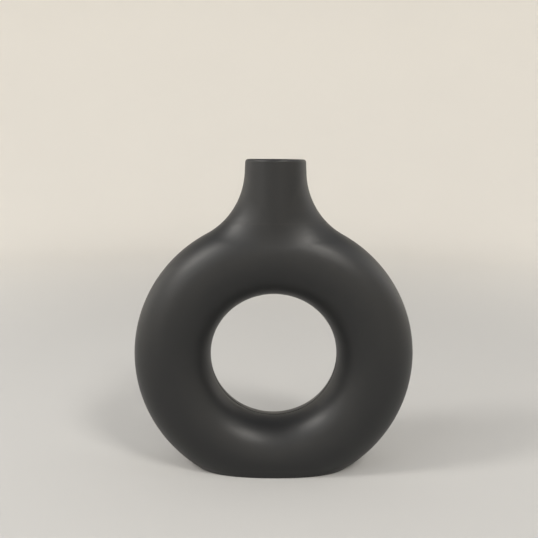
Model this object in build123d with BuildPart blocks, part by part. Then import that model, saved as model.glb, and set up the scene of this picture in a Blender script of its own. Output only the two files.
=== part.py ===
from build123d import *
import os
from math import cos, radians, sin, tan

# A ring vase in black clay: a hollow round ring, cut flat to stand, with a short flared neck on its crown.
# The ring is pressed in two halves that meet in the ring's plane. A slab closes its foot, the neck is
# thrown apart, and thin layers of slip lute the pieces face to face.
# X is the ring's width, Y its depth with the front towards -Y, and Z is up. The origin is the middle of
# the foot. All sizes are millimetres.

# Ring
ring_od = 180.0            # across the whole ring, before the foot is cut
tube_od = 49.0             # the round tube that the ring is bent from
foot_cut = 15.5            # depth that the flat foot takes off the ring's lowest point
wall = 4.5                 # clay of the ring and of the lip

# Neck
neck_rise = 35.5           # lip above the ring's crown
mouth_share = 0.765        # width over the lip, as a share of the tube that the neck stands on
neck_lean = 2.9            # degrees that the neck's side leans in towards the lip
neck_side = 8.5            # straight part of the neck's side, from the lip to the flare
throat_length = 18.5       # straight part of the bore, from the lip to the flare inside
lip_round_share = 0.42     # rounding of each edge of the lip, as a share of the wall

# Joints
slip = 0.6                 # layer of slip between two luted pieces
neck_height = 38.0         # the thrown neck, from its joint on the ring's crown to the lip
base_thickness = 5.0       # slab that closes the foot
seam_ease = 0.5            # edge taken off each half along the seam inside the hole
foot_ease = 0.7            # edge sponged off round the foot

# Places that follow from the sizes
tube_r = tube_od / 2
bend_r = ring_od / 2 - tube_r
ring_z = ring_od / 2 - foot_cut
lip_z = ring_z + ring_od / 2 + neck_rise
neck_joint_z = lip_z - neck_height
mouth_r = mouth_share * tube_r
throat_r = mouth_r - wall
ring_plane = Plane((0, 0, ring_z), x_dir=(1, 0, 0), z_dir=(0, 0, 1))
ring_axis = Axis((0, 0, ring_z), (0, 1, 0))


def flare_radius(outer_r, side_r, side_z, lean):
    """Radius of the arc that leaves the neck's side at side_z and touches the ring's outer circle.

    The side stands side_r from the axis there and leans by lean degrees. The ring's circle has the
    radius outer_r.
    """
    rise = side_z - ring_z
    reach = side_r * cos(radians(lean)) + rise * sin(radians(lean))
    return (side_r ** 2 + rise ** 2 - outer_r ** 2) / (2 * (outer_r - reach))


def front_form(inset, lip_r, lean, side_length):
    """The front half of the vase as a solid form, with the ring's skin moved in by inset.

    The neck is lip_r in radius at the lip and widens downwards by lean degrees. The flare starts
    side_length below the lip.
    """
    ring_skin_r = tube_r - inset
    root_z = ring_z + bend_r
    root_r = lip_r + (lip_z - root_z) * tan(radians(lean))
    side_r = lip_r + side_length * tan(radians(lean))
    flare_r = flare_radius(ring_od / 2 - inset, side_r, lip_z - side_length, lean)
    with BuildPart() as form:
        # The ring: a half-round section swung right round
        with BuildSketch(ring_plane):
            with Locations((-bend_r, 0)):
                Circle(ring_skin_r)
                Rectangle(tube_od, tube_od, align=(Align.CENTER, Align.MIN), mode=Mode.SUBTRACT)
        revolve(axis=ring_axis)
        # The neck: a leaning side turned half round, rooted in the middle of the tube
        with BuildSketch(Plane.XZ):
            with BuildLine():
                Polyline((0, root_z), (0, lip_z), (lip_r, lip_z), (root_r, root_z), close=True)
            make_face()
        revolve(axis=Axis.Z, revolution_arc=-180)
        # The flare: one ball rolled along the crotch between neck and ring
        crotch = form.edges().filter_by(lambda edge: edge.geom_type not in (GeomType.CIRCLE, GeomType.LINE))
        fillet(crotch, flare_r)
    return form.part

skin = front_form(0, mouth_r, neck_lean, neck_side)
hollow = front_form(wall, throat_r, 0, throat_length)

with BuildPart() as front_shell:
    add(skin)
    add(hollow, mode=Mode.SUBTRACT)

# The front half of the ring, open along its seam, under the neck and at the foot
with BuildPart() as ring_front:
    add(front_shell.part)
    split(bisect_by=Plane.XY.offset(neck_joint_z - slip), keep=Keep.BOTTOM)
    split(bisect_by=Plane.XY.offset(base_thickness + slip), keep=Keep.TOP)
    split(bisect_by=Plane.XZ.offset(slip / 2), keep=Keep.TOP)
    seam_edges = ring_front.edges().filter_by_position(Axis.Y, -slip / 2, -slip / 2)
    hole_edge = seam_edges.filter_by(GeomType.CIRCLE).sort_by(SortBy.RADIUS)[0]
    fillet(hole_edge, seam_ease)
ring_front.part.label = "ring_front"

with BuildPart() as ring_back:
    mirror(ring_front.part, about=Plane.XZ)
ring_back.part.label = "ring_back"

# Slip between the halves, set back in the groove that their eased edges leave inside the hole
with BuildPart() as ring_seam:
    add(front_shell.part)
    split(bisect_by=Plane.XY.offset(neck_joint_z - slip), keep=Keep.BOTTOM)
    split(bisect_by=Plane.XY.offset(base_thickness + slip), keep=Keep.TOP)
    split(bisect_by=Plane.XZ.offset(slip / 2), keep=Keep.BOTTOM)
    mirror(about=Plane.XZ)
    with BuildSketch(Plane.XZ):
        with Locations((0, ring_z)):
            Circle(bend_r - tube_r + seam_ease)
    extrude(amount=slip, both=True, mode=Mode.SUBTRACT)
ring_seam.part.label = "ring_seam"

# The neck: a flared collar with a straight bore and a rounded lip
with BuildPart() as neck:
    add(front_shell.part)
    split(bisect_by=Plane.XY.offset(neck_joint_z), keep=Keep.TOP)
    mirror(about=Plane.XZ)
    fillet(neck.edges().filter_by_position(Axis.Z, lip_z, lip_z), lip_round_share * wall)
neck.part.label = "neck"

with BuildPart() as neck_seam:
    add(front_shell.part)
    split(bisect_by=Plane.XY.offset(neck_joint_z), keep=Keep.BOTTOM)
    split(bisect_by=Plane.XY.offset(neck_joint_z - slip), keep=Keep.TOP)
    mirror(about=Plane.XZ)
neck_seam.part.label = "neck_seam"

# The base: an oval slab that follows the ring's skin and closes its foot
with BuildPart() as base:
    with BuildSketch(ring_plane):
        with Locations((-bend_r, 0)):
            Circle(tube_r)
    revolve(axis=ring_axis)
    split(bisect_by=Plane.XY, keep=Keep.TOP)
    split(bisect_by=Plane.XY.offset(base_thickness), keep=Keep.BOTTOM)
    fillet(base.edges().filter_by_position(Axis.Z, 0, 0), foot_ease)
base.part.label = "base"

with BuildPart() as base_seam:
    with BuildSketch(ring_plane):
        with Locations((-bend_r, 0)):
            Circle(tube_r)
            Circle(tube_r - wall, mode=Mode.SUBTRACT)
    revolve(axis=ring_axis)
    split(bisect_by=Plane.XY.offset(base_thickness), keep=Keep.TOP)
    split(bisect_by=Plane.XY.offset(base_thickness + slip), keep=Keep.BOTTOM)
base_seam.part.label = "base_seam"

os.makedirs("parts", exist_ok=True)
for piece in (ring_front, ring_back, ring_seam, neck, neck_seam, base, base_seam):
    export_step(piece.part, f"parts/{piece.part.label}.step")
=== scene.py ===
"""A ring vase in black clay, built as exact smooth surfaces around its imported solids.

The vase is a hollow ring of clay that stands on a flat foot and carries a short flared neck. Two pressed
halves meet in the ring's plane, a slab closes the foot, the neck is thrown apart, and layers of slip lute
the pieces. Every length is in metres. X runs across the ring, Y runs through its hole with the front
towards -Y, and Z rises from the foot.
"""

import logging
import math
from collections.abc import Iterable, Iterator, Mapping
from dataclasses import dataclass
from enum import Enum
from functools import cache

import bmesh
import bpy
from mathutils import Matrix, Vector


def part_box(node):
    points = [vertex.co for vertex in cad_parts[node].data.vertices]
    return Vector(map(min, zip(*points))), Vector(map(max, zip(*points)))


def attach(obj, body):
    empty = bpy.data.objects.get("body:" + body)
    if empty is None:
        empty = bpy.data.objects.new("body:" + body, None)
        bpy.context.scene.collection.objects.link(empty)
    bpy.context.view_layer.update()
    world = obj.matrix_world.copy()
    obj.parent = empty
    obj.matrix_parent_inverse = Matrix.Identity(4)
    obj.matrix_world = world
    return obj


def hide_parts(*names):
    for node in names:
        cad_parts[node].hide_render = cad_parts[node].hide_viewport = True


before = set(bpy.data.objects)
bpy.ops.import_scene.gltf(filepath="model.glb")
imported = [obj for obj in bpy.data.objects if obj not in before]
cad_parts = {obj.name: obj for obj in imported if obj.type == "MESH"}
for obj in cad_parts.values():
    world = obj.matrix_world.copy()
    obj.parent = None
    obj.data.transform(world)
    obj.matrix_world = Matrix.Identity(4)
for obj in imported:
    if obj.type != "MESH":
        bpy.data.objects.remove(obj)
log = logging.getLogger("vase")

AIM_ABOVE_RING = 0.02                    # the lamps face a point this far above the ring's centre

Colour = tuple[float, float, float]
Feed = "Wire | float | int | tuple[float, ...] | bpy.types.ID"
Feeds = Mapping[str | int, Feed] | None
Pieces = Iterator[bpy.types.Object]
Settings = Mapping[str, object] | None


class Skin(Enum):
    """Which face of the clay a surface belongs to."""

    OUTSIDE = "Outside"
    INSIDE = "Inside"

    @property
    def rawness(self) -> float:
        """How bare the clay is there, from 0, rubbed smooth, to 1, as it left the mould."""
        return float(self is Skin.INSIDE)


class Stretch(Enum):
    """The three stretches of a ring half's edge, from the neck down to the foot."""

    NECK = "under the neck"
    FLANK = "along the flank"
    FOOT = "round the foot"


class Facing(Enum):
    """Which half of the ring a pressing is, by the sign of its Y."""

    FRONT = -1
    BACK = 1


class Wire:
    """A node's output that takes part in ordinary arithmetic.

    An expression such as ``1 - mask * 0.5`` adds the Math or Vector Math nodes that it stands for.
    """

    def __init__(self, bench: "Bench", socket: bpy.types.NodeSocket) -> None:
        """Wraps an output socket of a bench's node tree."""
        self.bench = bench
        self.socket = socket

    @property
    def is_vector(self) -> bool:
        """Whether the socket carries three numbers."""
        return self.socket.type in {"VECTOR", "RGBA"}

    @cache
    def parts(self) -> tuple["Wire", "Wire", "Wire"]:
        """The X, Y and Z of a vector."""
        node = self.bench.add("ShaderNodeSeparateXYZ", feeds={"Vector": self})
        return tuple(Wire(self.bench, socket) for socket in node.outputs)

    def __add__(self, other: Feed) -> "Wire":
        """The sum."""
        return self.bench.arithmetic("ADD", self, other)

    def __radd__(self, other: Feed) -> "Wire":
        """The sum, with a plain value on the left."""
        return self.bench.arithmetic("ADD", other, self)

    def __sub__(self, other: Feed) -> "Wire":
        """The difference."""
        return self.bench.arithmetic("SUBTRACT", self, other)

    def __rsub__(self, other: Feed) -> "Wire":
        """The difference, with a plain value on the left."""
        return self.bench.arithmetic("SUBTRACT", other, self)

    def __mul__(self, other: Feed) -> "Wire":
        """The product."""
        return self.bench.arithmetic("MULTIPLY", self, other)

    def __rmul__(self, other: Feed) -> "Wire":
        """The product, with a plain value on the left."""
        return self.bench.arithmetic("MULTIPLY", other, self)

    def __truediv__(self, other: Feed) -> "Wire":
        """The quotient."""
        return self.bench.arithmetic("DIVIDE", self, other)

    def __rtruediv__(self, other: Feed) -> "Wire":
        """The quotient, with a plain value on the left."""
        return self.bench.arithmetic("DIVIDE", other, self)

    def __pow__(self, power: Feed) -> "Wire":
        """The power of a number."""
        return self.bench.number("POWER", self, power)

    def __neg__(self) -> "Wire":
        """The negative."""
        return self.bench.arithmetic("MULTIPLY", self, -1.0)


class Bench:
    """A node tree that is written as Python expressions."""

    NOISE_ROUGHNESS = 0.55               # share that each finer octave of noise adds

    def __init__(self, tree: bpy.types.NodeTree) -> None:
        """Keeps the node tree that new nodes go to."""
        self.tree = tree

    def add(self, kind: str, settings: Settings = None, feeds: Feeds = None) -> bpy.types.Node:
        """Adds a node, sets it and feeds its sockets.

        Args:
            kind: Blender's name for the node's type.
            settings: The node's own properties, which are set first.
            feeds: A wire or a plain value for each socket, by its name, identifier or number.

        Returns:
            The new node.
        """
        node = self.tree.nodes.new(kind)
        for name, value in (settings or {}).items():
            setattr(node, name, value)
        for key, value in (feeds or {}).items():
            self.feed(self.find(node.inputs, key), value)
        return node

    def wire(
        self, kind: str, settings: Settings = None, feeds: Feeds = None, output: str | None = None,
    ) -> Wire:
        """Adds a node and gives one of its outputs.

        Args:
            kind: Blender's name for the node's type.
            settings: The node's own properties.
            feeds: A wire or a plain value for each socket.
            output: The output's name, or the first one in use.

        Returns:
            The output as a wire.
        """
        node = self.add(kind, settings, feeds)
        if output is None:
            return Wire(self, next(socket for socket in node.outputs if socket.enabled))
        return Wire(self, self.find(node.outputs, output))

    @staticmethod
    def find(sockets: bpy.types.bpy_prop_collection, key: str | int) -> bpy.types.NodeSocket:
        """The socket of that number, or the one in use that has that name or identifier."""
        named = (s for s in sockets if s.enabled and key in {s.identifier, s.name})
        return sockets[key] if isinstance(key, int) else next(named)

    def feed(self, socket: bpy.types.NodeSocket, value: Feed) -> None:
        """Links a wire to a socket, or sets the socket to a plain value.

        Args:
            socket: The input socket.
            value: The wire or value. A colour is given without its alpha.
        """
        if isinstance(value, Wire):
            self.tree.links.new(value.socket, socket)
        elif socket.type == "RGBA" and len(value) == 3:
            socket.default_value = (*value, 1.0)
        else:
            socket.default_value = value

    def number(self, operation: str, *values: Feed) -> Wire:
        """A Math node."""
        return self.wire("ShaderNodeMath", {"operation": operation}, dict(enumerate(values)))

    def arithmetic(self, operation: str, left: Feed, right: Feed) -> Wire:
        """A sum, difference, product or quotient of numbers or vectors.

        Args:
            operation: ADD, SUBTRACT, MULTIPLY or DIVIDE.
            left: The first term.
            right: The second term.

        Returns:
            A vector if either term is one, and otherwise a number.
        """
        wide = [isinstance(v, Wire) and v.is_vector or isinstance(v, (tuple, Vector)) for v in (left, right)]
        if not any(wide):
            return self.number(operation, left, right)
        if operation == "MULTIPLY" and not all(wide):
            vector, scale = (left, right) if wide[0] else (right, left)
            feeds = {"Vector": vector, "Scale": scale}
            return self.wire("ShaderNodeVectorMath", {"operation": "SCALE"}, feeds)
        return self.wire("ShaderNodeVectorMath", {"operation": operation}, {0: left, 1: right})

    def vector(self, x: Feed, y: Feed, z: Feed) -> Wire:
        """A vector from its three numbers."""
        return self.wire("ShaderNodeCombineXYZ", feeds={"X": x, "Y": y, "Z": z})

    def dot(self, left: Wire, right: Wire) -> Wire:
        """The dot product of two vectors."""
        return self.wire("ShaderNodeVectorMath", {"operation": "DOT_PRODUCT"}, {0: left, 1: right}, "Value")

    def mix(self, share: Feed, start: Feed, end: Feed, kind: str = "FLOAT") -> Wire:
        """A blend of two values.

        Args:
            share: 0 for the start, 1 for the end.
            start: The first value.
            end: The second value.
            kind: FLOAT, VECTOR or RGBA.

        Returns:
            The blend.
        """
        tail = {"FLOAT": "Float", "VECTOR": "Vector", "RGBA": "Color"}[kind]
        feeds = {"Factor_Float": share, f"A_{tail}": start, f"B_{tail}": end}
        return self.wire("ShaderNodeMix", {"data_type": kind}, feeds)

    def ramp(self, value: Wire, low: float, high: float) -> Wire:
        """A smooth step from 0 at low to 1 at high. With low above high it falls."""
        feeds = {"Value": value, "From Min": low, "From Max": high, "To Min": 0.0, "To Max": 1.0}
        return self.wire("ShaderNodeMapRange", {"interpolation_type": "SMOOTHSTEP"}, feeds)

    def noise(self, spot: Wire, scale: float, detail: float = 3.0) -> Wire:
        """A cloud of noise, mostly from 0.3 to 0.7, with that many features in a metre."""
        feeds = {"Vector": spot, "Scale": scale, "Detail": detail, "Roughness": self.NOISE_ROUGHNESS}
        return self.wire("ShaderNodeTexNoise", feeds=feeds)

    def sin(self, angle: Feed) -> Wire:
        """The sine of an angle in radians."""
        return self.number("SINE", angle)

    def cos(self, angle: Feed) -> Wire:
        """The cosine of an angle in radians."""
        return self.number("COSINE", angle)

    def root(self, value: Wire) -> Wire:
        """The square root, and 0 of what rounding has left just under 0."""
        return self.number("SQRT", self.number("MAXIMUM", value, 0.0))

    def arc_cosine(self, value: Wire) -> Wire:
        """The angle whose cosine is the value, held to the range that a cosine has."""
        return self.number("ARCCOSINE", self.number("MAXIMUM", self.number("MINIMUM", value, 1.0), -1.0))

    def bearing(self, across: Wire, along: Wire) -> Wire:
        """The angle of a direction, turning from the way of its second number to that of its first."""
        return self.number("ARCTAN2", across, along)


class FinishBench(Bench):
    """A material that is written as Python expressions."""

    def __init__(self, name: str) -> None:
        """Makes a material.

        Args:
            name: The material's name.
        """
        self.material = bpy.data.materials.new(name)
        self.material.use_nodes = True
        super().__init__(self.material.node_tree)
        self.spot = self.wire("ShaderNodeTexCoord", output="Object")

    def dress(self, values: Mapping[str, Feed]) -> bpy.types.Material:
        """Feeds the sockets of the material's shader.

        Args:
            values: A wire or a plain value for each socket, by its name.

        Returns:
            The finished material.
        """
        shader = self.tree.nodes["Principled BSDF"]
        for name, value in values.items():
            self.feed(self.find(shader.inputs, name), value)
        return self.material


class GroupBench(Bench):
    """A Geometry Nodes tree with named inputs."""

    KINDS = {"VALUE": "NodeSocketFloat", "VECTOR": "NodeSocketVector", "GEOMETRY": "NodeSocketGeometry"}

    def __init__(self, name: str) -> None:
        """Makes an empty tree of that name."""
        super().__init__(bpy.data.node_groups.new(name, "GeometryNodeTree"))
        self.gate = self.tree.nodes.new("NodeGroupInput")
        self.exit = self.tree.nodes.new("NodeGroupOutput")

    @cache
    def input(self, name: str, kind: str = "NodeSocketFloat") -> Wire:
        """A named input of the tree, which is made when it is first asked for."""
        socket = self.tree.interface.new_socket(name, in_out="INPUT", socket_type=kind)
        return Wire(self, self.find(self.gate.outputs, socket.identifier))

    def output(self, name: str, value: Wire) -> None:
        """Sends a value out of the tree under that name."""
        kind = self.KINDS[value.socket.type]
        self.tree.interface.new_socket(name, in_out="OUTPUT", socket_type=kind)
        self.feed(self.find(self.exit.inputs, name), value)


class BallTree(GroupBench):
    """Where a ball rests in the crotch between the neck and the ring, for each angle round the neck.

    The neck's side is a cone and the ring is a torus, so the height of the ball's centre depends a little
    on itself through the cone's lean. A few rounds from a fair guess settle it to a micrometre.
    """

    ROUNDS = 4                           # of settling the height

    def __init__(self) -> None:
        """Builds the tree."""
        super().__init__("Rolling Ball")
        bend, ring_z = self.input("Bend Radius"), self.input("Ring Height")
        tube, flare = self.input("Tube"), self.input("Flare")
        lean, angle = self.input("Lean"), self.input("Angle")
        ahead, aside = self.cos(angle), self.sin(angle)
        upright, slope = self.cos(lean), self.number("TANGENT", lean)
        height = ring_z + bend + tube
        for _ in range(self.ROUNDS):
            reach = self.input("Neck") + (self.input("Lip Height") - height) * slope + flare / upright
            x, y = reach * ahead, reach * aside
            out = bend + self.root((tube + flare) ** 2 - y**2)
            height = ring_z + self.root(out**2 - x**2)
        up = height - ring_z
        share = (out - bend) / out
        self.output("Centre", self.vector(x, y, height))
        self.output("To Ring", self.vector(x * share, y, up * share) * (1 / (tube + flare)))
        self.output("To Neck", self.vector(ahead * upright, aside * upright, self.sin(lean)))
        self.output("Ring Angle", self.bearing(x, up))
        self.output("Tube Angle", self.bearing(-y, out - bend))


class Ball:
    """The rolling ball at one angle round the neck, and the profile that it leaves in the clay.

    A place on the profile is a turn in radians: 0 where the ball touches the ring, the sweep where it
    touches the neck, and from there on up the neck's straight side at the same pace.
    """

    def __init__(self, form: "FormTree", skin: Skin, angle: Feed) -> None:
        """Places the ball.

        Args:
            form: The tree that builds the piece.
            skin: The face of the clay that the ball rolls on.
            angle: The angle round the neck in radians, 0 on the right and negative at the front.
        """
        own = {name: form.skin_size(skin, name) for name in ("Tube", "Neck", "Lean", "Flare")}
        shared = {name: form.input(name) for name in ("Bend Radius", "Ring Height", "Lip Height")}
        feeds = {**own, **shared, "Angle": angle}
        node = form.add("GeometryNodeGroup", {"node_tree": form.ball_tree}, feeds)
        places = {socket.name: Wire(form, socket) for socket in node.outputs}
        self.form = form
        self.radius, self.lean = own["Flare"], own["Lean"]
        self.centre, self.to_ring, self.to_neck = (places[n] for n in ("Centre", "To Ring", "To Neck"))
        self.ring_angle, self.tube_angle = places["Ring Angle"], places["Tube Angle"]
        self.sweep = form.arc_cosine(form.dot(self.to_ring, self.to_neck))
        self.spread = form.sin(self.sweep)
        self.neck_contact = self.centre - self.to_neck * self.radius

    def at(self, turn: Wire) -> Wire:
        """A point of the profile.

        Args:
            turn: Its turn.

        Returns:
            The point.
        """
        form = self.form
        swung = form.number("MINIMUM", turn, self.sweep)
        ring_part = self.to_ring * (form.sin(self.sweep - swung) / self.spread)
        neck_part = self.to_neck * (form.sin(swung) / self.spread)
        ahead, aside, _ = self.to_neck.parts()
        slope = -form.number("TANGENT", self.lean)
        up_side = form.vector(ahead * slope, aside * slope, form.cos(self.lean))
        return self.centre - (ring_part + neck_part) * self.radius + up_side * ((turn - swung) * self.radius)

    @cache
    def turn_at(self, height: Feed) -> Wire:
        """Where the profile passes a height.

        Args:
            height: The height.

        Returns:
            The turn there.
        """
        form = self.form
        contact_z = self.neck_contact.parts()[2]
        low = form.number("MINIMUM", contact_z, height)
        rise = self.to_ring.parts()[2]
        swing = (self.to_neck.parts()[2] - rise * form.cos(self.sweep)) / self.spread
        drop = (self.centre.parts()[2] - low) / self.radius
        swung = form.bearing(swing, rise) + form.arc_cosine(drop / form.root(rise**2 + swing**2))
        past = form.number("MAXIMUM", height - contact_z, 0.0)
        return swung + past / (form.cos(self.lean) * self.radius)


@dataclass(frozen=True)
class Fineness:
    """How finely the surfaces are divided."""

    neck: int = 24                       # columns in a quarter turn of the neck
    flank: int = 66                      # columns from the neck down to the foot
    foot: int = 22                       # columns in a quarter of the foot's oval
    tube: int = 54                       # rows across half of the tube
    flare: int = 22                      # rows along the flare
    collar: int = 44                     # rows up the neck, outside and inside
    round: int = 7                       # rows round an eased edge
    wall: int = 3                        # rows across the wall at a joint
    bunching: float = 0.75               # how far rows close up towards the edges, from 0 to 1

    def columns(self, stretch: Stretch) -> int:
        """Columns along a stretch of a ring half's edge."""
        return {Stretch.NECK: self.neck, Stretch.FLANK: self.flank, Stretch.FOOT: self.foot}[stretch]


class FormTree(GroupBench):
    """A tree that builds one piece from patches of exact surface and welds them into a closed skin.

    A patch is a sheet of quads. Its points have a share along the sheet and a share across it, each from
    0 to 1, and a formula in these two places them.
    """

    FACE_ROWS = 2                        # across the narrow face that a layer of slip shows
    WELD = 2e-6                          # how near two points have to lie to become one
    RAWNESS = "rawness"                  # the attribute that says how bare the clay is

    def __init__(self, name: str, ball_tree: bpy.types.NodeTree, fineness: Fineness) -> None:
        """Starts a piece.

        Args:
            name: The tree's name.
            ball_tree: The tree that rests the rolling ball.
            fineness: How finely to divide the surfaces.
        """
        super().__init__(name)
        self.ball_tree = ball_tree
        self.fineness = fineness
        self.patches: list[Wire] = []
        self.spot = self.wire("GeometryNodeInputPosition")
        self.along, self.across, _ = (self.spot + (0.5, 0.5, 0.0)).parts()
        self.full_turn = self.along * (2 * math.pi)
        self.front_quarter = (self.along - 1) * (math.pi / 2)
        self.slip = self.input("Slip")
        self.half_slip = self.slip * 0.5

    def skin_size(self, skin: Skin, name: str) -> Wire:
        """One of the sizes that the outside and the inside each have."""
        return self.input(f"{skin.value} {name}")

    @cache
    def ball(self, skin: Skin, angle: Feed) -> Ball:
        """The rolling ball on a face of the clay, at an angle round the neck."""
        return Ball(self, skin, angle)

    @cache
    def bunched(self, share: Wire) -> Wire:
        """A share of the sheet, with smaller steps near both of its ends."""
        return self.mix(self.fineness.bunching, share, (1 - self.cos(share * math.pi)) * 0.5)

    def patch(self, columns: int, rows: int, place: Wire, raw: Feed = 0.0) -> None:
        """Adds a sheet of quads.

        Args:
            columns: Faces along the sheet.
            rows: Faces across the sheet.
            place: The formula for its points.
            raw: How bare the clay is, from 0, rubbed smooth, to 1, as it left the mould.
        """
        grid = self.wire("GeometryNodeMeshGrid", feeds={
            "Size X": 1.0, "Size Y": 1.0, "Vertices X": columns + 1, "Vertices Y": rows + 1,
        })
        feeds = {"Geometry": self.marked(grid, raw), "Position": place}
        self.patches.append(self.wire("GeometryNodeSetPosition", feeds=feeds))

    def marked(self, geometry: Wire, raw: Feed) -> Wire:
        """The geometry with how bare its clay is kept as an attribute."""
        feeds = {"Geometry": geometry, "Name": self.RAWNESS, "Value": raw}
        return self.wire("GeometryNodeStoreNamedAttribute", {"data_type": "FLOAT", "domain": "POINT"}, feeds)

    def strip(self, columns: int, start: Wire, end: Wire, rows: int | None = None, raw: Feed = 1.0) -> None:
        """Adds a sheet that runs straight from one edge to another, by default a joint face."""
        self.patch(columns, rows or self.fineness.wall, self.mix(self.across, start, end, "VECTOR"), raw)

    @cache
    def ring_point(self, skin: Skin, ring_angle: Feed, tube_angle: Feed) -> Wire:
        """A point of the ring.

        Args:
            skin: Outside or inside.
            ring_angle: The angle round the ring from its crown, in radians.
            tube_angle: The angle round the tube, from its outermost point towards the front.

        Returns:
            The point.
        """
        tube = self.skin_size(skin, "Tube")
        out = self.input("Bend Radius") + tube * self.cos(tube_angle)
        return self.wheel_point(out, -(tube * self.sin(tube_angle)), ring_angle)

    def wheel_point(self, out: Feed, y: Feed, ring_angle: Feed) -> Wire:
        """The point at a distance from the ring's axle and an angle from its crown."""
        return self.vector(
            self.sin(ring_angle) * out, y, self.cos(ring_angle) * out + self.input("Ring Height"))

    @cache
    def oval_angles(self, height: Feed, tube: Wire, along: Feed) -> tuple[Wire, Wire]:
        """Where a level cuts the ring in an oval.

        The formula is exact at both ends of the quarter, where neighbouring sheets meet it.

        Args:
            height: The level.
            tube: The radius of the tube.
            along: The share of the quarter, from the right end to the front.

        Returns:
            The angle round the ring and the angle round the tube.
        """
        bend, drop = self.input("Bend Radius"), self.input("Ring Height") - height
        full = self.arc_cosine((drop - bend) / tube)
        left = (1 - along) ** 2
        tube_angle = full * (1 - left)
        out = bend + tube * self.cos(tube_angle)
        over = tube * self.sin(full * (2 - left) * 0.5) * self.sin(full * left * 0.5) * 2.0
        x = self.root(over * (out + drop))
        return math.pi - self.bearing(x, drop), tube_angle

    def oval_point(self, skin: Skin, height: Feed, along: Feed) -> Wire:
        """A point of the oval in which a level cuts a face of the ring."""
        return self.ring_point(skin, *self.oval_angles(height, self.skin_size(skin, "Tube"), along))

    def mirrored(self, geometry: Wire, scale: Feed) -> Wire:
        """A copy of some geometry on the other side of a plane, with its faces turned right again."""
        moved = self.wire("GeometryNodeTransform", feeds={"Geometry": geometry, "Scale": scale})
        return self.wire("GeometryNodeFlipFaces", feeds={"Mesh": moved})

    def join(self, pieces: Iterable[Wire]) -> Wire:
        """Puts several pieces of geometry together.

        Args:
            pieces: The geometry of each.

        Returns:
            All of it as one.
        """
        node = self.tree.nodes.new("GeometryNodeJoinGeometry")
        for piece in pieces:
            self.tree.links.new(piece.socket, node.inputs[0])
        return Wire(self, node.outputs[0])

    def both_sides(self, geometry: Wire) -> Wire:
        """The right side's geometry with its mirror image on the left."""
        return self.join([geometry, self.mirrored(geometry, (-1.0, 1.0, 1.0))])

    def all_round(self, geometry: Wire) -> Wire:
        """The front right quarter's geometry, mirrored to the left and then to the back."""
        front = self.both_sides(geometry)
        return self.join([front, self.mirrored(front, (1.0, -1.0, 1.0))])

    def finish(self, geometry: Wire) -> None:
        """Welds the sheets, and ends the tree with its instances realised and its material set.

        Args:
            geometry: All the sheets of the piece.
        """
        feeds = {"Geometry": geometry, "Distance": self.WELD}
        welded = self.wire("GeometryNodeMergeByDistance", feeds=feeds)
        real = self.wire("GeometryNodeRealizeInstances", feeds={"Geometry": welded})
        feeds = {"Geometry": real, "Material": self.input("Finish", "NodeSocketMaterial")}
        self.output("Geometry", self.wire("GeometryNodeSetMaterial", feeds=feeds))


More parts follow.
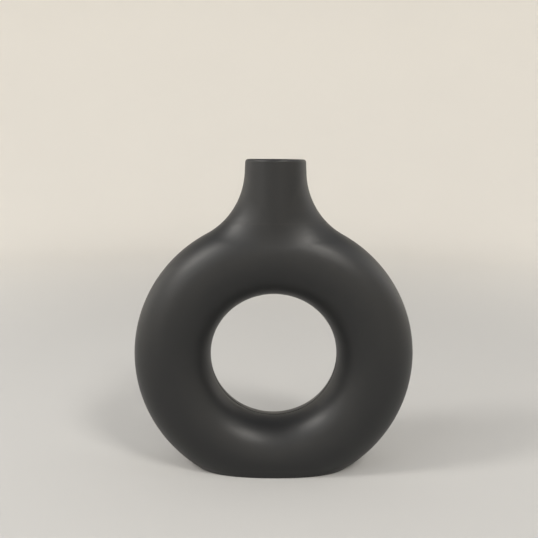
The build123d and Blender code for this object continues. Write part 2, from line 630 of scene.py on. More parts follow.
class RingHalfTree(FormTree):
    """One pressed half of the ring, with its share of the flare under the neck.

    The tree builds the quarter on the right of the front, mirrors it to the left, and turns the result
    round for the back.
    """

    NAME = "Ring Half"

    def __init__(self, ball_tree: bpy.types.NodeTree, fineness: Fineness) -> None:
        """Builds the tree.

        Args:
            ball_tree: The tree that rests the rolling ball.
            fineness: How finely to divide the surfaces.
        """
        super().__init__(self.NAME, ball_tree, fineness)
        self.foot_z = self.input("Base Top") + self.slip
        self.top_z = self.input("Neck Joint") - self.slip
        self.groove_reach = self.skin_size(Skin.OUTSIDE, "Tube") - self.input("Seam Ease")
        self.build()

    def build(self) -> None:
        """Adds every sheet and puts the half together."""
        for skin in Skin:
            self.add_skin(skin)
        for stretch in Stretch:
            self.add_groove(stretch)
        self.add_joint_faces()
        quarter = self.held_off_seam(self.join(self.patches))
        facing = self.vector(1.0, -self.input("Facing"), 1.0)
        self.finish(self.wire("GeometryNodeTransform", feeds={
            "Geometry": self.both_sides(quarter), "Scale": facing,
        }))

    def held_off_seam(self, geometry: Wire) -> Wire:
        """The quarter with its edge drawn back from the ring's plane, to leave room for the slip."""
        x, y, z = self.spot.parts()
        place = self.vector(x, self.number("MINIMUM", y, -self.half_slip), z)
        return self.wire("GeometryNodeSetPosition", feeds={"Geometry": geometry, "Position": place})

    @cache
    def edge_angles(self, skin: Skin, stretch: Stretch) -> tuple[Wire, Wire | float]:
        """Where the ring's own surface starts, along a stretch of its edge.

        Args:
            skin: Outside or inside.
            stretch: The stretch of the edge.

        Returns:
            The angle round the ring and the angle round the tube.
        """
        tube = self.skin_size(skin, "Tube")
        if stretch is Stretch.NECK:
            ball = self.ball(skin, self.front_quarter)
            return ball.ring_angle, ball.tube_angle
        if stretch is Stretch.FOOT:
            return self.oval_angles(self.foot_z, tube, self.along)
        foot_corner, _ = self.oval_angles(self.foot_z, tube, 0.0)
        return self.mix(self.along, self.ball(skin, 0.0).ring_angle, foot_corner), 0.0

    @cache
    def hole_angle(self, stretch: Stretch) -> Wire:
        """Where a stretch's columns end inside the hole.

        Args:
            stretch: The stretch of the edge.

        Returns:
            The angle round the ring.
        """
        counts = {s: self.fineness.columns(s) for s in Stretch}
        order = list(Stretch)
        before = sum(counts[s] for s in order[: order.index(stretch)])
        return (self.along * counts[stretch] + before) * (math.pi / sum(counts.values()))

    @cache
    def groove_angle(self) -> Wire:
        """How far short of the hole's waist, round the tube, the groove's rounding starts."""
        return self.number("ARCSINE", (self.half_slip + self.input("Seam Ease")) / self.groove_reach)

    @cache
    def groove_out(self) -> Wire:
        """Distance of the groove's rounding from the ring's axle."""
        depth = self.half_slip + self.input("Seam Ease")
        return self.input("Bend Radius") - self.root(self.groove_reach**2 - depth**2)

    def edge_point(self, skin: Skin, stretch: Stretch) -> Wire:
        """A point of the edge of the ring's own surface."""
        return self.ring_point(skin, *self.edge_angles(skin, stretch))

    @cache
    def flare_point(self, skin: Skin, angle: Feed, across: Feed) -> Wire:
        """A point of the flare.

        Args:
            skin: Outside or inside.
            angle: The angle round the neck.
            across: Its share of the way from the joint under the neck down to the ring.

        Returns:
            The point.
        """
        ball = self.ball(skin, angle)
        share = self.bunched(across) if isinstance(across, Wire) else across
        return ball.at(ball.turn_at(self.top_z) * (1 - share))

    def add_skin(self, skin: Skin) -> None:
        """Adds one face of the clay.

        Args:
            skin: Outside or inside.
        """
        waist = math.pi - self.groove_angle() if skin is Skin.OUTSIDE else math.pi
        for stretch in Stretch:
            ring_start, tube_start = self.edge_angles(skin, stretch)
            ring_angle = self.mix(self.bunched(self.across), ring_start, self.hole_angle(stretch))
            tube_angle = self.mix(self.bunched(self.across), tube_start, waist)
            place = self.ring_point(skin, ring_angle, tube_angle)
            self.patch(self.fineness.columns(stretch), self.fineness.tube, place, skin.rawness)
        place = self.flare_point(skin, self.front_quarter, self.across)
        self.patch(self.fineness.neck, self.fineness.flare, place, skin.rawness)

    def add_groove(self, stretch: Stretch) -> None:
        """Rounds the edge inside the hole and closes the half along its seam there.

        Args:
            stretch: The stretch whose columns the groove goes on from.
        """
        columns, ease = self.fineness.columns(stretch), self.input("Seam Ease")
        turn = self.mix(self.across, math.pi + self.groove_angle(), math.pi / 2)
        out = self.groove_out() + ease * self.cos(turn)
        y = ease * self.sin(turn) - ease - self.half_slip
        self.patch(columns, self.fineness.round, self.wheel_point(out, y, self.hole_angle(stretch)))
        self.strip(
            columns,
            self.wheel_point(self.groove_out(), -self.half_slip, self.hole_angle(stretch)),
            self.ring_point(Skin.INSIDE, self.hole_angle(stretch), math.pi),
        )

    def add_joint_faces(self) -> None:
        """Closes the half under the neck, along its outer seam and over the base."""
        self.strip(self.fineness.neck, *(self.flare_point(skin, self.front_quarter, 0.0) for skin in Skin))
        self.strip(self.fineness.flare, *(self.flare_point(skin, 0.0, self.along) for skin in Skin))
        for stretch in (Stretch.FLANK, Stretch.FOOT):
            self.strip(self.fineness.columns(stretch), *(self.edge_point(skin, stretch) for skin in Skin))


class RingSeamTree(RingHalfTree):
    """The slip in the ring's plane: flush outside, and set back in the groove inside the hole."""

    NAME = "Ring Seam"
    WIPE_DEPTH = 0.00006                 # how far the wiped face wanders
    WIPE_GRAIN = 260.0                   # features in a metre
    FACE_REACH = 0.0001                  # points this near the bead's face are wiped
    WIPED = 0.35                         # how bare wiping has left the bead
    PROFILE_POINTS = 32

    def build(self) -> None:
        """Adds the bands of slip on both flanks and the bead inside the hole."""
        flare = {skin: self.flare_point(skin, 0.0, self.along) for skin in Skin}
        flank = {skin: self.edge_point(skin, Stretch.FLANK) for skin in Skin}
        for columns, edge in ((self.fineness.flare, flare), (self.fineness.flank, flank)):
            for skin in Skin:
                front, back = (self.level(edge[skin], side) for side in (-1.0, 1.0))
                self.strip(columns, front, back, rows=1, raw=skin.rawness)
            for side in (-1.0, 1.0):
                self.strip(columns, *(self.level(edge[skin], side) for skin in Skin))
        across_seam = self.along * 2 - 1
        self.strip(1, *(self.level(self.flare_point(skin, 0.0, 0.0), across_seam) for skin in Skin))
        self.strip(1, *(self.level(self.oval_point(skin, self.foot_z, 0.0), across_seam) for skin in Skin))
        self.finish(self.join([self.both_sides(self.join(self.patches)), self.hole_bead()]))

    def level(self, point: Wire, side: Feed) -> Wire:
        """A point of the seam moved to a face of the slip, from -1 at the front to 1 at the back."""
        x, _, z = point.parts()
        return self.vector(x, self.half_slip * side, z)

    def hole_bead(self) -> Wire:
        """The slip inside the hole, swept round the ring.

        Returns:
            The bead, left a little uneven where it was wiped.
        """
        bend = self.input("Bend Radius")
        floor = bend - self.groove_reach
        depth = bend - self.skin_size(Skin.INSIDE, "Tube") - floor
        path = self.wire("GeometryNodeCurvePrimitiveCircle", feeds={
            "Resolution": 4 * self.fineness.flank, "Radius": floor + depth * 0.5,
        })
        profile = self.wire("GeometryNodeCurvePrimitiveQuadrilateral", feeds={
            "Width": depth, "Height": self.slip,
        })
        feeds = {"Curve": profile, "Count": self.PROFILE_POINTS}
        fine = self.wire("GeometryNodeResampleCurve", feeds=feeds)
        swept = self.wire("GeometryNodeCurveToMesh", feeds={"Curve": path, "Profile Curve": fine})
        hub = self.vector(0.0, 0.0, self.input("Ring Height"))
        upright = self.wire("GeometryNodeTransform", feeds={
            "Geometry": swept, "Rotation": (math.pi / 2, 0.0, 0.0), "Translation": hub,
        })
        away = (self.spot - hub) * self.vector(1.0, 0.0, 1.0)
        out = self.root(self.dot(away, away))
        at_face = self.number("LESS_THAN", out, floor + self.FACE_REACH)
        shift = at_face * self.noise(self.spot, self.WIPE_GRAIN, 2.0) * self.WIPE_DEPTH
        return self.wire("GeometryNodeSetPosition", feeds={
            "Geometry": self.marked(upright, self.WIPED), "Offset": away * (shift / out),
        })


class NeckTree(FormTree):
    """The thrown neck: a flared collar with a straight bore, faint throwing rings and a rounded lip."""

    NAME = "Neck"
    RIDGES_START = (0.002, 0.007)        # the thrower's rings set in over this depth below the lip
    RIDGES_END = (0.010, 0.022)          # and fade out over this height above the joint
    BARE_BELOW = 0.2                     # share of the bore over which the smooth lip turns bare

    def __init__(self, ball_tree: bpy.types.NodeTree, fineness: Fineness) -> None:
        """Builds the tree.

        Args:
            ball_tree: The tree that rests the rolling ball.
            fineness: How finely to divide the surfaces.
        """
        super().__init__(self.NAME, ball_tree, fineness)
        self.columns = 4 * fineness.neck
        self.joint, self.lip_z, self.easing = (
            self.input(name) for name in ("Neck Joint", "Lip Height", "Lip Rounding"))
        self.build()

    def build(self) -> None:
        """Adds every sheet and puts the neck together."""
        rows = self.fineness
        self.patch(self.columns, rows.collar, self.side_point(Skin.OUTSIDE, self.bunched(self.across)))
        self.patch(self.columns, rows.round, self.lip_point(Skin.OUTSIDE, self.across))
        self.strip(self.columns, *(self.lip_point(skin, 1.0) for skin in Skin), rows=2, raw=0.0)
        self.patch(self.columns, rows.round, self.lip_point(Skin.INSIDE, 1 - self.across))
        bareness = self.number("MINIMUM", (1 - self.across) / self.BARE_BELOW, 1.0)
        self.patch(self.columns, rows.collar, self.bore_point(), bareness)
        self.strip(self.columns, *(self.side_point(skin, 0.0) for skin in Skin))
        self.finish(self.join(self.patches))

    def side_point(self, skin: Skin, across: Feed) -> Wire:
        """A point of the neck's face.

        Args:
            skin: Outside or inside.
            across: Its share of the way from the joint up to the lip's rounding.

        Returns:
            The point.
        """
        ball = self.ball(skin, self.full_turn)
        lip_edge = self.lip_z - self.easing * (1 - self.sin(self.skin_size(skin, "Lean")))
        return ball.at(self.mix(across, ball.turn_at(self.joint), ball.turn_at(lip_edge)))

    def lip_point(self, skin: Skin, across: Feed) -> Wire:
        """A point of the lip's rounding.

        Args:
            skin: Outside or inside.
            across: Its share of the way from the neck's face up to the top.

        Returns:
            The point.
        """
        lean, sign = self.skin_size(skin, "Lean"), 1.0 if skin is Skin.OUTSIDE else -1.0
        side = self.skin_size(skin, "Neck") + self.easing * self.number("TANGENT", lean)
        turn = self.mix(across, lean, math.pi / 2)
        out = side - (self.easing / self.cos(lean) - self.easing * self.cos(turn)) * sign
        z = self.lip_z - self.easing + self.easing * self.sin(turn)
        return self.vector(out * self.cos(self.full_turn), out * self.sin(self.full_turn), z)

    def bore_point(self) -> Wire:
        """A point of the bore and of the flare under it.

        Returns:
            The point, with the thrower's rings pressed in.
        """
        plain = self.side_point(Skin.INSIDE, self.across)
        x, y, z = plain.parts()
        depth = self.lip_z - z
        ring = (1 - self.cos(depth * (2 * math.pi) / self.input("Ridge Pitch"))) * 0.5
        fade = self.ramp(depth, *self.RIDGES_START) * self.ramp(z - self.joint, *self.RIDGES_END)
        swell = ring * fade * self.input("Ridge Depth") / self.skin_size(Skin.INSIDE, "Neck")
        return self.vector(x * (swell + 1), y * (swell + 1), z)


class NeckSeamTree(NeckTree):
    """The layer of slip between the neck and the ring, wiped flush on both faces."""

    NAME = "Neck Seam"

    def build(self) -> None:
        """Adds the layer's four faces."""
        low = self.joint - self.slip
        balls = {skin: self.ball(skin, self.full_turn) for skin in Skin}
        face, foot, top = (
            {skin: ball.at(ball.turn_at(level)) for skin, ball in balls.items()}
            for level in (low + self.slip * self.across, low, self.joint)
        )
        for skin in Skin:
            self.patch(self.columns, self.FACE_ROWS, face[skin], skin.rawness)
        for edge in (foot, top):
            self.strip(self.columns, *edge.values())
        self.finish(self.join(self.patches))


class BaseTree(FormTree):
    """The slab that closes the foot: an oval that follows the ring's skin, with a sponged lower edge."""

    NAME = "Base"
    FILL_ROWS = 14                       # from the edge to the middle
    SIDE_ROWS = 12

    def __init__(self, ball_tree: bpy.types.NodeTree, fineness: Fineness) -> None:
        """Builds the tree.

        Args:
            ball_tree: The tree that rests the rolling ball.
            fineness: How finely to divide the surfaces.
        """
        super().__init__(self.NAME, ball_tree, fineness)
        self.top = self.input("Base Top")
        self.build()

    def build(self) -> None:
        """Adds every sheet and puts the slab together."""
        columns, ease = self.fineness.foot, self.input("Foot Ease")
        bend, tube = self.input("Bend Radius"), self.skin_size(Skin.OUTSIDE, "Tube")
        top = self.oval_angles(self.top, tube, self.along)
        foot = self.oval_angles(ease, tube - ease, self.along)
        side = (self.mix(self.bunched(self.across), start, end) for start, end in zip(top, foot))
        self.patch(columns, self.SIDE_ROWS, self.ring_point(Skin.OUTSIDE, *side))
        out = bend + (tube - ease) * self.cos(foot[1])
        centre = self.wheel_point(out, -((tube - ease) * self.sin(foot[1])), foot[0])
        outward = (centre - self.wheel_point(bend, 0.0, foot[0])) * (1 / (tube - ease))
        self.patch(columns, self.fineness.round, self.eased_edge(centre, outward), self.across)
        self.patch(columns, self.FILL_ROWS, self.underside(centre), 1.0)
        middle = self.vector(0.0, 0.0, self.top)
        self.strip(columns, self.ring_point(Skin.OUTSIDE, *top), middle, rows=self.FILL_ROWS)
        self.finish(self.all_round(self.join(self.patches)))

    def eased_edge(self, centre: Wire, outward: Wire) -> Wire:
        """A point of the eased edge, from the slab's side down to its underside.

        Args:
            centre: The middle of the edge's rounding.
            outward: The way from there that the slab's side faces.

        Returns:
            The point.
        """
        sweep = self.arc_cosine(-outward.parts()[2])
        spread = self.sin(sweep)
        side_part = outward * (self.sin(sweep * (1 - self.across)) / spread)
        down_part = self.vector(0.0, 0.0, -(self.sin(sweep * self.across) / spread))
        return centre + (side_part + down_part) * self.input("Foot Ease")

    def underside(self, centre: Wire) -> Wire:
        """A point of the underside, dished a little so that the foot stands on its edge.

        Args:
            centre: The middle of the edge's rounding.

        Returns:
            The point.
        """
        x, y, _ = centre.parts()
        inward = 1 - self.across
        return self.vector(x * inward, y * inward, (1 - inward**2) ** 2 * self.input("Foot Dish"))


class BaseSeamTree(BaseTree):
    """The layer of slip between the base and the ring."""

    NAME = "Base Seam"

    def build(self) -> None:
        """Adds the layer's four faces."""
        columns = self.fineness.foot
        face = {skin: self.oval_point(skin, self.top + self.slip * self.across, self.along) for skin in Skin}
        for skin in Skin:
            self.patch(columns, self.FACE_ROWS, face[skin], skin.rawness)
        for level in (self.top, self.top + self.slip):
            self.strip(columns, *(self.oval_point(skin, level, self.along) for skin in Skin))
        self.finish(self.all_round(self.join(self.patches)))


@dataclass(frozen=True)
class ClayFinish:
    """Black clay, rubbed smooth outside and bare inside."""

    name: str
    lip_z: float
    ring_z: float                        # centre of the ring
    joint_z: float                       # foot of the neck
    tone: Colour = (0.0082, 0.0086, 0.0093)
    cloud_tone: Colour = (0.0120, 0.0125, 0.0133)
    bare_tone: Colour = (0.0290, 0.0278, 0.0262)
    rub_tone: Colour = (0.0400, 0.0392, 0.0378)
    roughness: float = 0.43
    bare_roughness: float = 0.82
    gloss: float = 0.44                  # how much the clay mirrors, 0.5 being a usual glaze
    cloud_scale: float = 38.0            # the scales are features in a metre
    fleck_scale: float = 420.0
    grain_scale: float = 2600.0
    streak_scale: float = 520.0
    swell_scale: float = 44.0
    grain_height: float = 0.000022
    streak_height: float = 0.000014
    swell_height: float = 0.000060
    bare_grain: float = 3.2              # how much coarser the grain of bare clay is
    cloud_sheen: float = 0.10            # how far the roughness swings with the clouds,
    fleck_sheen: float = 0.10            # the flecks
    streak_sheen: float = 0.05           # and the sponge's marks
    fleck_share: float = 0.4             # flecks in the change of tone, the rest being clouds
    waver: float = 0.012                 # how far the sponge's marks stray from their rounds
    neck_turn: tuple[float, float] = (-0.012, 0.010)    # from the joint, where the marks turn round the neck
    rub_reach: float = 0.0016            # how far from the lip's top and the foot the clay is rubbed
    rub_full: float = 0.0002             # height up to which the foot is rubbed most
    rub_break: tuple[float, float] = (0.42, 0.62)       # flecks over which the rubbing gives out
    rub_cover: float = 0.5               # how much of the tone rubbing hides
    rub_polish: float = 0.04             # how much smoother it leaves the clay
    lip_rub: float = 0.55                # how rubbed the lip is, beside the foot

    def make(self) -> bpy.types.Material:
        """Builds the material.

        Returns:
            The finished material.
        """
        bench = FinishBench(self.name)
        bare = bench.wire("ShaderNodeAttribute", {"attribute_name": FormTree.RAWNESS}, output="Fac")
        scales = (self.cloud_scale, self.fleck_scale, self.grain_scale)
        clouds, flecks, grain = (bench.noise(bench.spot, scale) for scale in scales)
        streaks = self.streaks(bench, clouds)
        rub = self.rub(bench, flecks)
        cloudiness = clouds * (1 - self.fleck_share) + flecks * self.fleck_share
        smooth = bench.mix(cloudiness, self.tone, self.cloud_tone, "RGBA")
        worn = bench.mix(rub * self.rub_cover, smooth, self.rub_tone, "RGBA")
        sheen = (self.roughness + (clouds - 0.5) * self.cloud_sheen + (flecks - 0.5) * self.fleck_sheen
                 + (streaks - 0.5) * self.streak_sheen - rub * self.rub_polish)
        coarseness = bare * (self.bare_grain - 1) + 1
        swell = bench.noise(bench.spot, self.swell_scale, 1.0)
        relief = (grain * coarseness * self.grain_height
                  + streaks * self.streak_height + swell * self.swell_height)
        bump = {"Strength": 1.0, "Distance": 1.0, "Height": relief}
        return bench.dress({
            "Specular IOR Level": self.gloss,
            "Base Color": bench.mix(bare, worn, self.bare_tone, "RGBA"),
            "Roughness": bench.mix(bare, sheen, self.bare_roughness),
            "Normal": bench.wire("ShaderNodeBump", feeds=bump),
        })

    def streaks(self, bench: FinishBench, clouds: Wire) -> Wire:
        """Faint marks of the sponge, which run round the ring, and round the neck on the neck.

        Args:
            bench: The material's bench.
            clouds: Slow noise that breaks the marks up.

        Returns:
            The marks' height, from 0 to 1.
        """
        x, y, z = bench.spot.parts()
        up = z - self.ring_z
        round_ring = bench.vector(bench.root(x**2 + up**2), y, clouds * self.waver)
        round_neck = bench.vector(bench.root(x**2 + y**2), z, clouds * self.waver)
        on_neck = bench.ramp(z - self.joint_z, *self.neck_turn)
        return bench.noise(bench.mix(on_neck, round_ring, round_neck, "VECTOR"), self.streak_scale)

    def rub(self, bench: FinishBench, flecks: Wire) -> Wire:
        """Where hands and the shelf have rubbed the clay paler: on the lip and round the foot.

        Args:
            bench: The material's bench.
            flecks: Fine noise that breaks the rubbed places up.

        Returns:
            How rubbed the clay is.
        """
        z = bench.spot.parts()[2]
        lip = bench.ramp(z, self.lip_z - self.rub_reach, self.lip_z)
        foot = bench.ramp(z, self.rub_reach, self.rub_full)
        return (lip * self.lip_rub + foot) * bench.ramp(flecks, *self.rub_break)


@dataclass(frozen=True)
class Ring:
    """The hollow ring, pressed in two halves and luted along its plane."""

    od: float                            # across the whole ring, before the foot is cut
    tube_od: float                       # the round tube that the ring is bent from
    slip: float                          # layer of slip between two pieces
    wall: float = 0.0045
    seam_ease: float = 0.0005            # edge taken off each half along the seam inside the hole

    @property
    def tube_r(self) -> float:
        """Radius of the tube."""
        return self.tube_od / 2

    def tree_inputs(self) -> dict[str, float]:
        """The named sizes that the ring gives to the form trees.

        Returns:
            Each size by its name.
        """
        return {
            "Bend Radius": self.od / 2 - self.tube_r,
            "Slip": self.slip,
            "Seam Ease": self.seam_ease,
            "Outside Tube": self.tube_r,
            "Inside Tube": self.tube_r - self.wall,
        }

    def build(self, shop: "Workshop", clay: bpy.types.Material, slip: bpy.types.Material) -> Pieces:
        """Builds both halves and the slip between them.

        Args:
            shop: The workshop that makes the pieces.
            clay: The finish of the halves.
            slip: The finish of the slip.

        Yields:
            Each finished piece.
        """
        half = shop.tree(RingHalfTree)
        yield shop.piece("ring_front", "clay", half, clay, Facing.FRONT)
        yield shop.piece("ring_back", "clay", half, clay, Facing.BACK)
        yield shop.piece("ring_seam", "slip", shop.tree(RingSeamTree), slip)


@dataclass(frozen=True)
class Neck:
    """The flared neck, thrown apart and luted to the ring's crown."""

    ring: Ring
    lip_z: float
    joint_z: float                       # where the neck stands on its slip
    rise: float = 0.0355                 # lip above the ring's crown
    mouth_share: float = 0.765           # width over the lip, as a share of the tube
    lean: float = math.radians(2.9)      # slope of the neck's side in towards the lip
    side: float = 0.0085                 # straight part of the neck's side, below the lip
    throat_length: float = 0.0185        # straight part of the bore, below the lip
    lip_round_share: float = 0.42        # rounding of each edge of the lip, as a share of the wall
    ridge_pitch: float = 0.0052          # the thrower's rings in the bore
    ridge_depth: float = 0.00012

    @property
    def ring_z(self) -> float:
        """Height of the ring's centre."""
        return self.lip_z - self.rise - self.ring.od / 2

    @property
    def mouth_r(self) -> float:
        """Radius over the lip."""
        return self.mouth_share * self.ring.tube_r

    def flare_radius(self, outer_r: float, side_r: float, side_z: float, lean: float) -> float:
        """Radius of the arc that leaves the neck's side and touches the ring's outer circle.

        Args:
            outer_r: Radius of the ring's circle.
            side_r: Distance of the neck's side from the axis where the arc starts.
            side_z: Height where the arc starts.
            lean: Lean of the neck's side, in radians.

        Returns:
            The radius of the arc.
        """
        rise = side_z - self.ring_z
        reach = side_r * math.cos(lean) + rise * math.sin(lean)
        return (side_r**2 + rise**2 - outer_r**2) / (2 * (outer_r - reach))

    def tree_inputs(self) -> dict[str, float]:
        """The named sizes that the neck gives to the form trees.

        Returns:
            Each size by its name.
        """
        outer_r, throat_r = self.ring.od / 2, self.mouth_r - self.ring.wall
        side_r = self.mouth_r + self.side * math.tan(self.lean)
        return {
            "Ring Height": self.ring_z,
            "Lip Height": self.lip_z,
            "Neck Joint": self.joint_z,
            "Lip Rounding": self.lip_round_share * self.ring.wall,
            "Ridge Pitch": self.ridge_pitch,
            "Ridge Depth": self.ridge_depth,
            "Outside Neck": self.mouth_r,
            "Outside Lean": self.lean,
            "Outside Flare": self.flare_radius(outer_r, side_r, self.lip_z - self.side, self.lean),
            "Inside Neck": throat_r,
            "Inside Lean": 0.0,
            "Inside Flare": self.flare_radius(
                outer_r - self.ring.wall, throat_r, self.lip_z - self.throat_length, 0.0),
        }

    def build(self, shop: "Workshop", clay: bpy.types.Material) -> Pieces:
        """Builds the neck and the slip under it, which is rubbed until it looks like the clay."""
        yield shop.piece("neck", "clay", shop.tree(NeckTree), clay)
        yield shop.piece("neck_seam", "slip", shop.tree(NeckSeamTree), clay)


@dataclass(frozen=True)
class Foot:
    """The slab that closes the ring's foot."""

    top_z: float
    ease: float = 0.0007                 # edge sponged off round the foot
    dish: float = 0.00025                # hollow of the underside

    def tree_inputs(self) -> dict[str, float]:
        """The named sizes that the foot gives to the form trees."""
        return {"Base Top": self.top_z, "Foot Ease": self.ease, "Foot Dish": self.dish}

    def build(self, shop: "Workshop", slab: bpy.types.Material, clay: bpy.types.Material) -> Pieces:
        """Builds the slab and the slip over it, which is rubbed until it looks like the clay."""
        yield shop.piece("base", "foot_clay", shop.tree(BaseTree), slab)
        yield shop.piece("base_seam", "slip", shop.tree(BaseSeamTree), clay)


def placed(name: str, data: bpy.types.ID) -> bpy.types.Object:
    """Puts a new object into the scene.

    Args:
        name: Its name.
        data: The mesh, light or camera that it shows.

    Returns:
        The object.
    """
    thing = bpy.data.objects.new(name, data)
    bpy.context.scene.collection.objects.link(thing)
    return thing


class Workshop:
    """Runs the form trees and turns their results into plain dressed meshes."""

    SHARP = math.radians(38)             # an edge that turns more than this is a real edge

    def __init__(self, sizes: Mapping[str, float], fineness: Fineness) -> None:
        """Builds the tree that every form leans on.

        Args:
            sizes: The value of each named size that the trees take.
            fineness: How finely to divide the surfaces.
        """
        self.sizes = sizes
        self.fineness = fineness
        self.ball_tree = BallTree().tree

    def tree(self, kind: type[FormTree]) -> bpy.types.NodeTree:
        """The node tree of a kind of form."""
        return kind(self.ball_tree, self.fineness).tree

    def piece(
        self, node: str, slot: str, tree: bpy.types.NodeTree, finish: bpy.types.Material,
        facing: Facing = Facing.FRONT,
    ) -> bpy.types.Object:
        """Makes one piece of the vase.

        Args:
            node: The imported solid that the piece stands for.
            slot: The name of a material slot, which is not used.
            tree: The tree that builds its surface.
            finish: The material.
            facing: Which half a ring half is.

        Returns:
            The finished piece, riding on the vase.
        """
        values = {**self.sizes, "Facing": float(facing.value), "Finish": finish}
        holder = placed(f"{node}_form", bpy.data.meshes.new(f"{node}_form"))
        modifier = holder.modifiers.new("Form", "NODES")
        modifier.node_group = tree
        for item in tree.interface.items_tree:
            if item.in_out == "INPUT":
                modifier[item.identifier] = values[item.name]
        bpy.context.view_layer.update()
        seen = holder.evaluated_get(bpy.context.evaluated_depsgraph_get())
        mesh = bpy.data.meshes.new_from_object(seen)
        bpy.data.objects.remove(holder)
        self.turn_outwards(mesh)
        piece = placed(f"clay_{node}", mesh)
        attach(piece, "root")
        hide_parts(node)
        return piece

    def turn_outwards(self, mesh: bpy.types.Mesh) -> None:
        """Turns every face outwards, and shades the mesh smooth up to its real edges.

        Args:
            mesh: The mesh, which is changed.
        """
        work = bmesh.new()
        work.from_mesh(mesh)
        bmesh.ops.recalc_face_normals(work, faces=work.faces)
        work.to_mesh(mesh)
        work.free()
        mesh.polygons.foreach_set("use_smooth", [True] * len(mesh.polygons))
        mesh.set_sharp_from_angle(angle=self.SHARP)


@dataclass(frozen=True)
class Vase:
    """The whole vase, as the sub-assemblies that it is luted together from."""

    ring: Ring
    neck: Neck
    foot: Foot

    @classmethod
    def from_frame(cls) -> "Vase":
        """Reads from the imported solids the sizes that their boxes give, to a tenth of a millimetre.

        Returns:
            The vase.
        """
        ring_low, ring_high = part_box("ring_front")
        neck_low, neck_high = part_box("neck")
        ring = Ring(
            od=round(2 * ring_high.x, 4),
            tube_od=round(-2 * ring_low.y, 4),
            slip=round(neck_low.z - ring_high.z, 4),
        )
        neck = Neck(ring, lip_z=round(neck_high.z, 4), joint_z=round(neck_low.z, 4))
        return cls(ring, neck, Foot(top_z=round(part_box("base")[1].z, 4)))

    def build(self) -> Pieces:
        """Builds and dresses every piece.

        Yields:
            Each finished piece.
        """
        parts = (self.ring, self.neck, self.foot)
        sizes = {name: size for part in parts for name, size in part.tree_inputs().items()}
        shop = Workshop(sizes, Fineness())
        places = {"lip_z": self.neck.lip_z, "ring_z": self.neck.ring_z, "joint_z": self.neck.joint_z}
        clay = ClayFinish("black clay", **places).make()
        slip = ClayFinish("black slip", tone=(0.0079, 0.0083, 0.0089), roughness=0.44, **places).make()
        slab = ClayFinish("foot clay", bare_tone=(0.0400, 0.0378, 0.0350), **places).make()
        yield from self.ring.build(shop, clay, slip)
        yield from self.neck.build(shop, clay)
        yield from self.foot.build(shop, slab, clay)


class Tint(Enum):
    """The colour of a lamp's light."""

    DAYLIGHT = (1.0, 0.992, 0.98)
    WARM = (1.0, 0.965, 0.905)


@dataclass(frozen=True)
class Softbox:
    """A square lamp that faces the vase."""

    name: str
    azimuth: float                       # degrees to the right of the camera, seen from the vase
    elevation: float                     # degrees above the floor
    width: float
    power: float
    distance: float = 1.5
    tint: Tint = Tint.DAYLIGHT

    def hang(self, aim: Vector) -> bpy.types.Object:
        """Hangs the lamp.

        Args:
            aim: The point that it faces.

        Returns:
            The lamp.
        """
        azimuth, elevation = math.radians(self.azimuth), math.radians(self.elevation)
        way = Vector((
            math.sin(azimuth) * math.cos(elevation),
            -math.cos(azimuth) * math.cos(elevation),
            math.sin(elevation),
        ))
        light = bpy.data.lights.new(self.name, "AREA")
        light.shape = "SQUARE"
        light.size = self.width
        light.energy = self.power
        light.color = self.tint.value
        lamp = placed(self.name, light)
        lamp.location = aim + way * self.distance
        lamp.rotation_euler = way.to_track_quat("Z", "Y").to_euler()
        lamp.visible_camera = False
        return lamp


@dataclass(frozen=True)
class Camera:
    """The photograph's viewpoint."""

    place: tuple[float, float, float] = (-0.00665, -0.38330, 0.19700)
    pitch: float = math.radians(9.74)    # looking down
    yaw: float = math.radians(0.465)     # looking right
    roll: float = math.radians(0.50)     # the picture's right side raised
    lens: float = 40.92                  # millimetres, and so is the sensor's width
    sensor: float = 36.0
    nearest: float = 0.01                # nothing nearer is seen

    def set_up(self) -> bpy.types.Object:
        """Makes the camera and gives it to the scene.

        Returns:
            The camera.
        """
        level = math.cos(self.pitch)
        ahead = Vector((math.sin(self.yaw) * level, math.cos(self.yaw) * level, -math.sin(self.pitch)))
        right = ahead.cross(Vector((0, 0, 1))).normalized()
        up = right.cross(ahead)
        tilted_right = right * math.cos(self.roll) + up * math.sin(self.roll)
        tilted_up = up * math.cos(self.roll) - right * math.sin(self.roll)
        turn = Matrix((tilted_right, tilted_up, -ahead)).transposed()
        data = bpy.data.cameras.new("camera")
        data.lens = self.lens
        data.sensor_width = self.sensor
        data.clip_start = self.nearest
        camera = placed("camera", data)
        camera.matrix_world = Matrix.Translation(self.place) @ turn.to_4x4()
        bpy.context.scene.camera = camera
        return camera


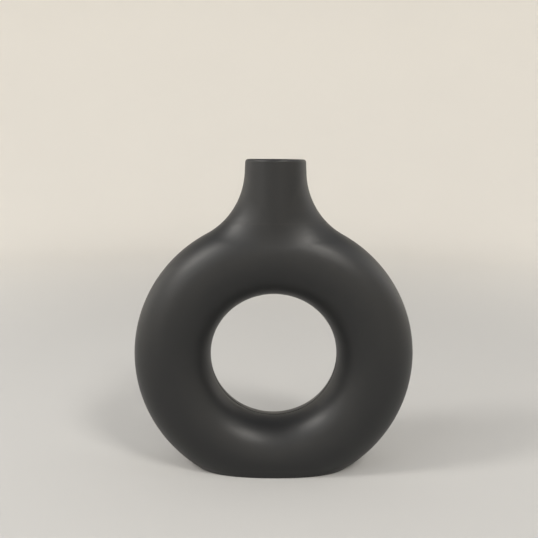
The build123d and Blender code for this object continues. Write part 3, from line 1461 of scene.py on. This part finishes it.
@dataclass(frozen=True)
class Studio:
    """A round sweep of pale paper under a soft sky, with soft lamps round the vase."""

    floor_tone: Colour = (0.50, 0.497, 0.490)
    wall_tone: Colour = (0.82, 0.795, 0.750)
    tone_change: tuple[float, float] = (0.30, 1.30)    # from the vase, where one tone turns to the other
    mottle: float = 0.03                 # how much darker the paper gets in places
    mottle_scale: float = 3.0            # features in a metre
    paper_roughness: float = 0.9
    floor_r: float = 1.0                 # flat floor round the vase
    sweep_r: float = 0.6                 # how gently the paper rises at its edge
    wall_height: float = 1.3
    columns: int = 128
    sweep_rows: int = 24
    sky: Colour = (0.35, 0.35, 0.35)
    sky_fall: float = 0.8                # how bright the sky is low down, as a share of overhead
    lamps: tuple[Softbox, ...] = (
        Softbox("window", azimuth=-58.0, elevation=36.0, width=1.2, power=7.5),
        Softbox("left lamp", azimuth=-70.0, elevation=43.5, width=0.26, power=7.5, tint=Tint.WARM),
        Softbox("right lamp", azimuth=34.0, elevation=46.0, width=0.34, power=10.0, tint=Tint.WARM),
        Softbox("front panel", azimuth=0.0, elevation=34.0, width=1.0, power=1.2),
        Softbox("side panel", azimuth=92.0, elevation=38.0, width=1.0, power=2.4),
        Softbox("left rim panel", azimuth=-112.0, elevation=18.0, width=0.6, power=1.0, distance=1.2),
        Softbox("right rim panel", azimuth=118.0, elevation=18.0, width=0.6, power=0.9, distance=1.2),
    )

    def set_up(self, aim: Vector) -> None:
        """Lays the paper, lights the room and turns the view transform to Standard.

        Args:
            aim: The point that the lamps face.
        """
        self.lay_paper()
        self.light_room()
        for lamp in self.lamps:
            lamp.hang(aim)
        bpy.context.scene.view_settings.view_transform = "Standard"

    def lay_paper(self) -> bpy.types.Object:
        """Lays the paper as one round sheet: the floor, a quarter-round sweep and the wall.

        Returns:
            The paper.
        """
        turns = [math.pi / 2 * step / self.sweep_rows for step in range(self.sweep_rows + 1)]
        bend = self.sweep_r
        line = [(self.floor_r + bend * math.sin(turn), bend * (1 - math.cos(turn))) for turn in turns]
        line.append((line[-1][0], self.wall_height))
        around = [2 * math.pi * step / self.columns for step in range(self.columns)]
        points = [(r * math.sin(a), r * math.cos(a), z) for r, z in line for a in around]
        faces = [list(range(self.columns))[::-1]]
        for row in range(len(line) - 1):
            for column in range(self.columns):
                following = (column + 1) % self.columns
                low, high = row * self.columns, (row + 1) * self.columns
                faces.append([low + column, low + following, high + following, high + column])
        mesh = bpy.data.meshes.new("paper")
        mesh.from_pydata(points, [], faces)
        mesh.polygons.foreach_set("use_smooth", [True] * len(faces))
        mesh.materials.append(self.paper_finish())
        paper = placed("paper", mesh)
        return paper

    def paper_finish(self) -> bpy.types.Material:
        """Matte paper with a faint mottle, a little greyer round the vase.

        Returns:
            The material.
        """
        bench = FinishBench("paper")
        x, y, _ = bench.spot.parts()
        change = bench.ramp(bench.root(x**2 + y**2), *self.tone_change)
        tone = bench.mix(change, self.floor_tone, self.wall_tone, "RGBA")
        shade = 1 - bench.noise(bench.spot, self.mottle_scale, 2.0) * self.mottle
        return bench.dress({"Base Color": tone * shade, "Roughness": self.paper_roughness})

    def light_room(self) -> None:
        """Lights the room softly from above."""
        world = bpy.data.worlds.new("room")
        world.use_nodes = True
        bpy.context.scene.world = world
        bench = Bench(world.node_tree)
        height = bench.wire("ShaderNodeTexCoord", output="Generated").parts()[2]
        low = tuple(value * self.sky_fall for value in self.sky)
        light = bench.mix(bench.ramp(height, 0.0, 0.9), low, self.sky, "RGBA")
        bench.feed(world.node_tree.nodes["Background"].inputs["Color"], light)


def main() -> None:
    """Builds the vase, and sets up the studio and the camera."""
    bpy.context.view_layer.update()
    vase = Vase.from_frame()
    for piece in vase.build():
        log.info("%s: %d points, %d faces", piece.name, len(piece.data.vertices), len(piece.data.polygons))
    Studio().set_up(Vector((0.0, 0.0, vase.neck.ring_z + AIM_ABOVE_RING)))
    Camera().set_up()


if __name__ == "__main__":
    logging.basicConfig(level=logging.INFO, format="%(name)s: %(message)s")
    main()
